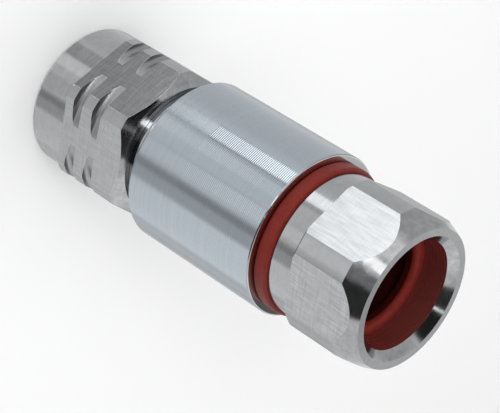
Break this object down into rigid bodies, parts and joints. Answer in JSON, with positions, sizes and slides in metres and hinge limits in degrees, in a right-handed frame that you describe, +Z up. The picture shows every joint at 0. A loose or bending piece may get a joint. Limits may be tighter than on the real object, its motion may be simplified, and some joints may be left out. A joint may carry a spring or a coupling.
{
  "type": "n type coaxial connector",
  "caption": "Coaxial plug with a grooved hexagonal coupling nut, round body, red seal and a hexagonal clamp nut for corrugated feeder cable.",
  "frame": {"origin": "centre of the coupling nut's mouth, on the plane the part stands on", "axes": "+Z up the axis from the mating face to the cable entry; +X through a corner of the clamp nut's hexagon"},
  "size_m": [0.0224, 0.0224, 0.059],
  "materials": {
    "nickel_nut": "bright nickel plate over turned and milled brass",
    "satin_body": "satin nickel plate over turned brass",
    "plain_brass": "turned brass",
    "contact_plating": "white bronze plate",
    "spring_bronze": "spring bronze",
    "spring_steel": "spring wire",
    "red_silicone": "smooth red silicone rubber",
    "white_ptfe": "white fluoropolymer"
  },
  "bodies": {
    "body": {"main_body": "satin_body", "coupling_snap_ring": "spring_bronze", "interface_gasket": "red_silicone", "outer_contact": "contact_plating", "centre_contact": "contact_plating", "front_insulator": "white_ptfe", "spacer_sleeve": "plain_brass", "rear_insulator": "white_ptfe", "flare_cone": "plain_brass"},
    "coupling": {"coupling_nut": "nickel_nut"},
    "clamp_carriage": {"clamping_collet": "plain_brass", "collet_garter_spring": "spring_steel", "thrust_washer": "white_ptfe"},
    "clamp": {"clamp_nut": "nickel_nut", "collet_retaining_ring": "spring_bronze", "body_seal_ring": "red_silicone", "jacket_washer": "plain_brass", "jacket_gasket": "red_silicone"}
  },
  "joints": [
    {"name": "coupling_nut_turn", "type": "hinge", "parent": "body", "child": "coupling", "pos_m": [0, 0, 0.01], "axis": [0, 0, 1], "continuous": true},
    {"name": "clamp_travel", "type": "slide", "parent": "body", "child": "clamp_carriage", "axis": [0, 0, 1], "range_m": [0, 0.007]},
    {"name": "clamp_nut_turn", "type": "hinge", "parent": "clamp_carriage", "child": "clamp", "pos_m": [0, 0, 0.05], "axis": [0, 0, 1], "range_deg": [0, 2520]}
  ],
  "couplings": [
    {"joint": "clamp_travel", "follows": "clamp_nut_turn", "m_per_rad": 0.00015915}
  ]
}
